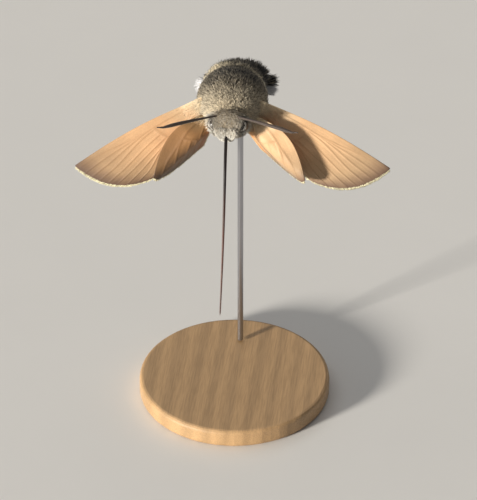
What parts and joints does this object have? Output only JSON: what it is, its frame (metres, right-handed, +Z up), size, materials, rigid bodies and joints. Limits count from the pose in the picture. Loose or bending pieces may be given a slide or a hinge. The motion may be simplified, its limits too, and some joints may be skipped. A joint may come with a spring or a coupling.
{
  "type": "hummingbird hawk moth model",
  "caption": "Life-size hummingbird hawk moth hovering with its proboscis lowered and its wings spread, held over a plain round base by a slim rod",
  "frame": {"origin": "the middle of the stand's underside", "axes": "+Z up, the moth faces -Y, and its left side is +X"},
  "size_m": [0.0471, 0.0461, 0.061],
  "materials": {
    "thorax_fur": "olive grey-brown fur with paler tips",
    "abdomen_fur": "dark grey-brown fur with white and black side tufts",
    "tail_scales": "long black scales with pale tips",
    "head_fur": "grey-beige fur, near white below",
    "eye": "glossy dark brown compound eye",
    "proboscis": "black-brown, shiny",
    "antenna": "dark grey-brown, finely ringed",
    "forewing": "peach-orange scales below, grey-brown with dark lines above",
    "hindwing": "orange scales with a brown margin",
    "leg": "grey-beige scales",
    "base_wood": "fine-grained pale wood, satin",
    "rod_steel": "brushed"
  },
  "bodies": {
    "root": {"thorax": "thorax_fur", "head": "head_fur", "eye_left": "eye", "eye_right": "eye", "palp_left": "head_fur", "palp_right": "head_fur", "proboscis": "proboscis", "antenna_left": "antenna", "antenna_right": "antenna", "abdomen": "abdomen_fur", "tail_fan": "tail_scales", "forewing_left": "forewing", "forewing_right": "forewing", "hindwing_left": "hindwing", "hindwing_right": "hindwing", "leg_front_left": "leg", "leg_front_right": "leg", "leg_middle_left": "leg", "leg_middle_right": "leg", "leg_hind_left": "leg", "leg_hind_right": "leg", "stand_base": "base_wood", "stand_rod": "rod_steel"}
  },
  "joints": []
}
